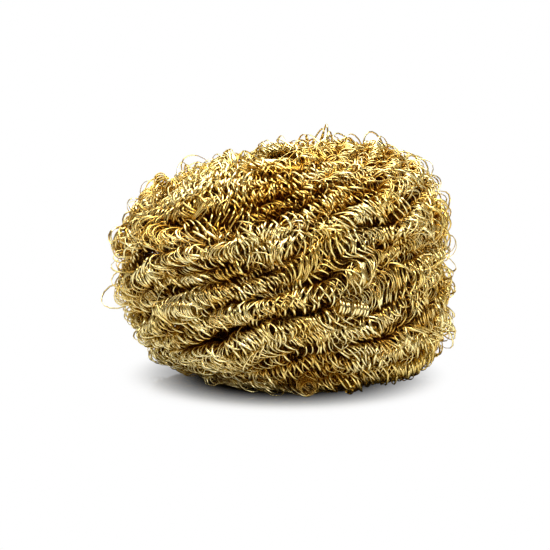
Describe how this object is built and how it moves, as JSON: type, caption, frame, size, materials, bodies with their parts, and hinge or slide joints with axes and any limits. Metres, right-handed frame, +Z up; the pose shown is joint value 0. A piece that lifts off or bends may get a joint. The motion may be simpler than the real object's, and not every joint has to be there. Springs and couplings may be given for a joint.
{
  "type": "tip cleaning brass",
  "caption": "Squat ball of curled brass ribbon, wound in sloping rows, for wiping a soldering iron's tip dry.",
  "frame": {"origin": "on the bench, under the middle of the ball's box", "axes": "+Z up, +X to the right as the picture shows it, the front faces -Y"},
  "size_m": [0.063, 0.0583, 0.045],
  "materials": {
    "brass_ribbon": "bright rolled brass ribbon"
  },
  "bodies": {
    "root": {"outer_length_1": "brass_ribbon", "outer_length_2": "brass_ribbon", "outer_length_3": "brass_ribbon", "outer_length_4": "brass_ribbon", "outer_length_5": "brass_ribbon", "outer_length_6": "brass_ribbon", "outer_length_7": "brass_ribbon", "outer_length_8": "brass_ribbon", "inner_roll_1": "brass_ribbon", "inner_roll_2": "brass_ribbon", "inner_roll_3": "brass_ribbon", "inner_roll_4": "brass_ribbon", "inner_roll_5": "brass_ribbon", "inner_roll_6": "brass_ribbon", "inner_roll_7": "brass_ribbon", "inner_roll_8": "brass_ribbon", "inner_roll_9": "brass_ribbon", "inner_roll_10": "brass_ribbon", "foot_eye_roll": "brass_ribbon", "crown_eye_roll": "brass_ribbon"}
  },
  "joints": []
}
